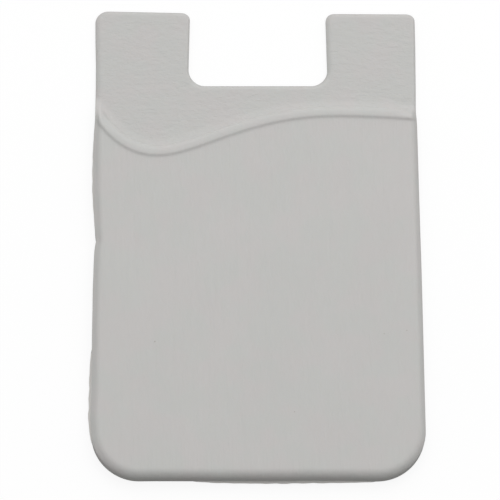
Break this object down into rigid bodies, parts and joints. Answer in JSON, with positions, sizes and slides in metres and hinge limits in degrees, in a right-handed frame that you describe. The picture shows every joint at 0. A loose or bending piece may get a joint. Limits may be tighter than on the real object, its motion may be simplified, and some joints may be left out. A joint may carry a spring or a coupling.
{
  "type": "stick on phone card holder",
  "caption": "Flat soft silicone pocket for bank cards that sticks to the back of a phone, with a wavy mouth and a U-shaped thumb notch between its ears.",
  "frame": {"origin": "middle of the back face, on the underside of the release liner", "axes": "+Z out of the pocket's front, away from the phone; +Y from the pocket's bottom edge towards the ears; +X to the right seen from the front"},
  "size_m": [0.0576, 0.0869, 0.0036],
  "materials": {
    "silicone": "matt moulded silicone, light warm grey",
    "adhesive": "tacky foam tape, milky white",
    "liner": "smooth glassine paper, amber"
  },
  "bodies": {
    "root": {"silicone_pocket": "silicone", "adhesive_pad": "adhesive", "release_liner": "liner"}
  },
  "joints": []
}
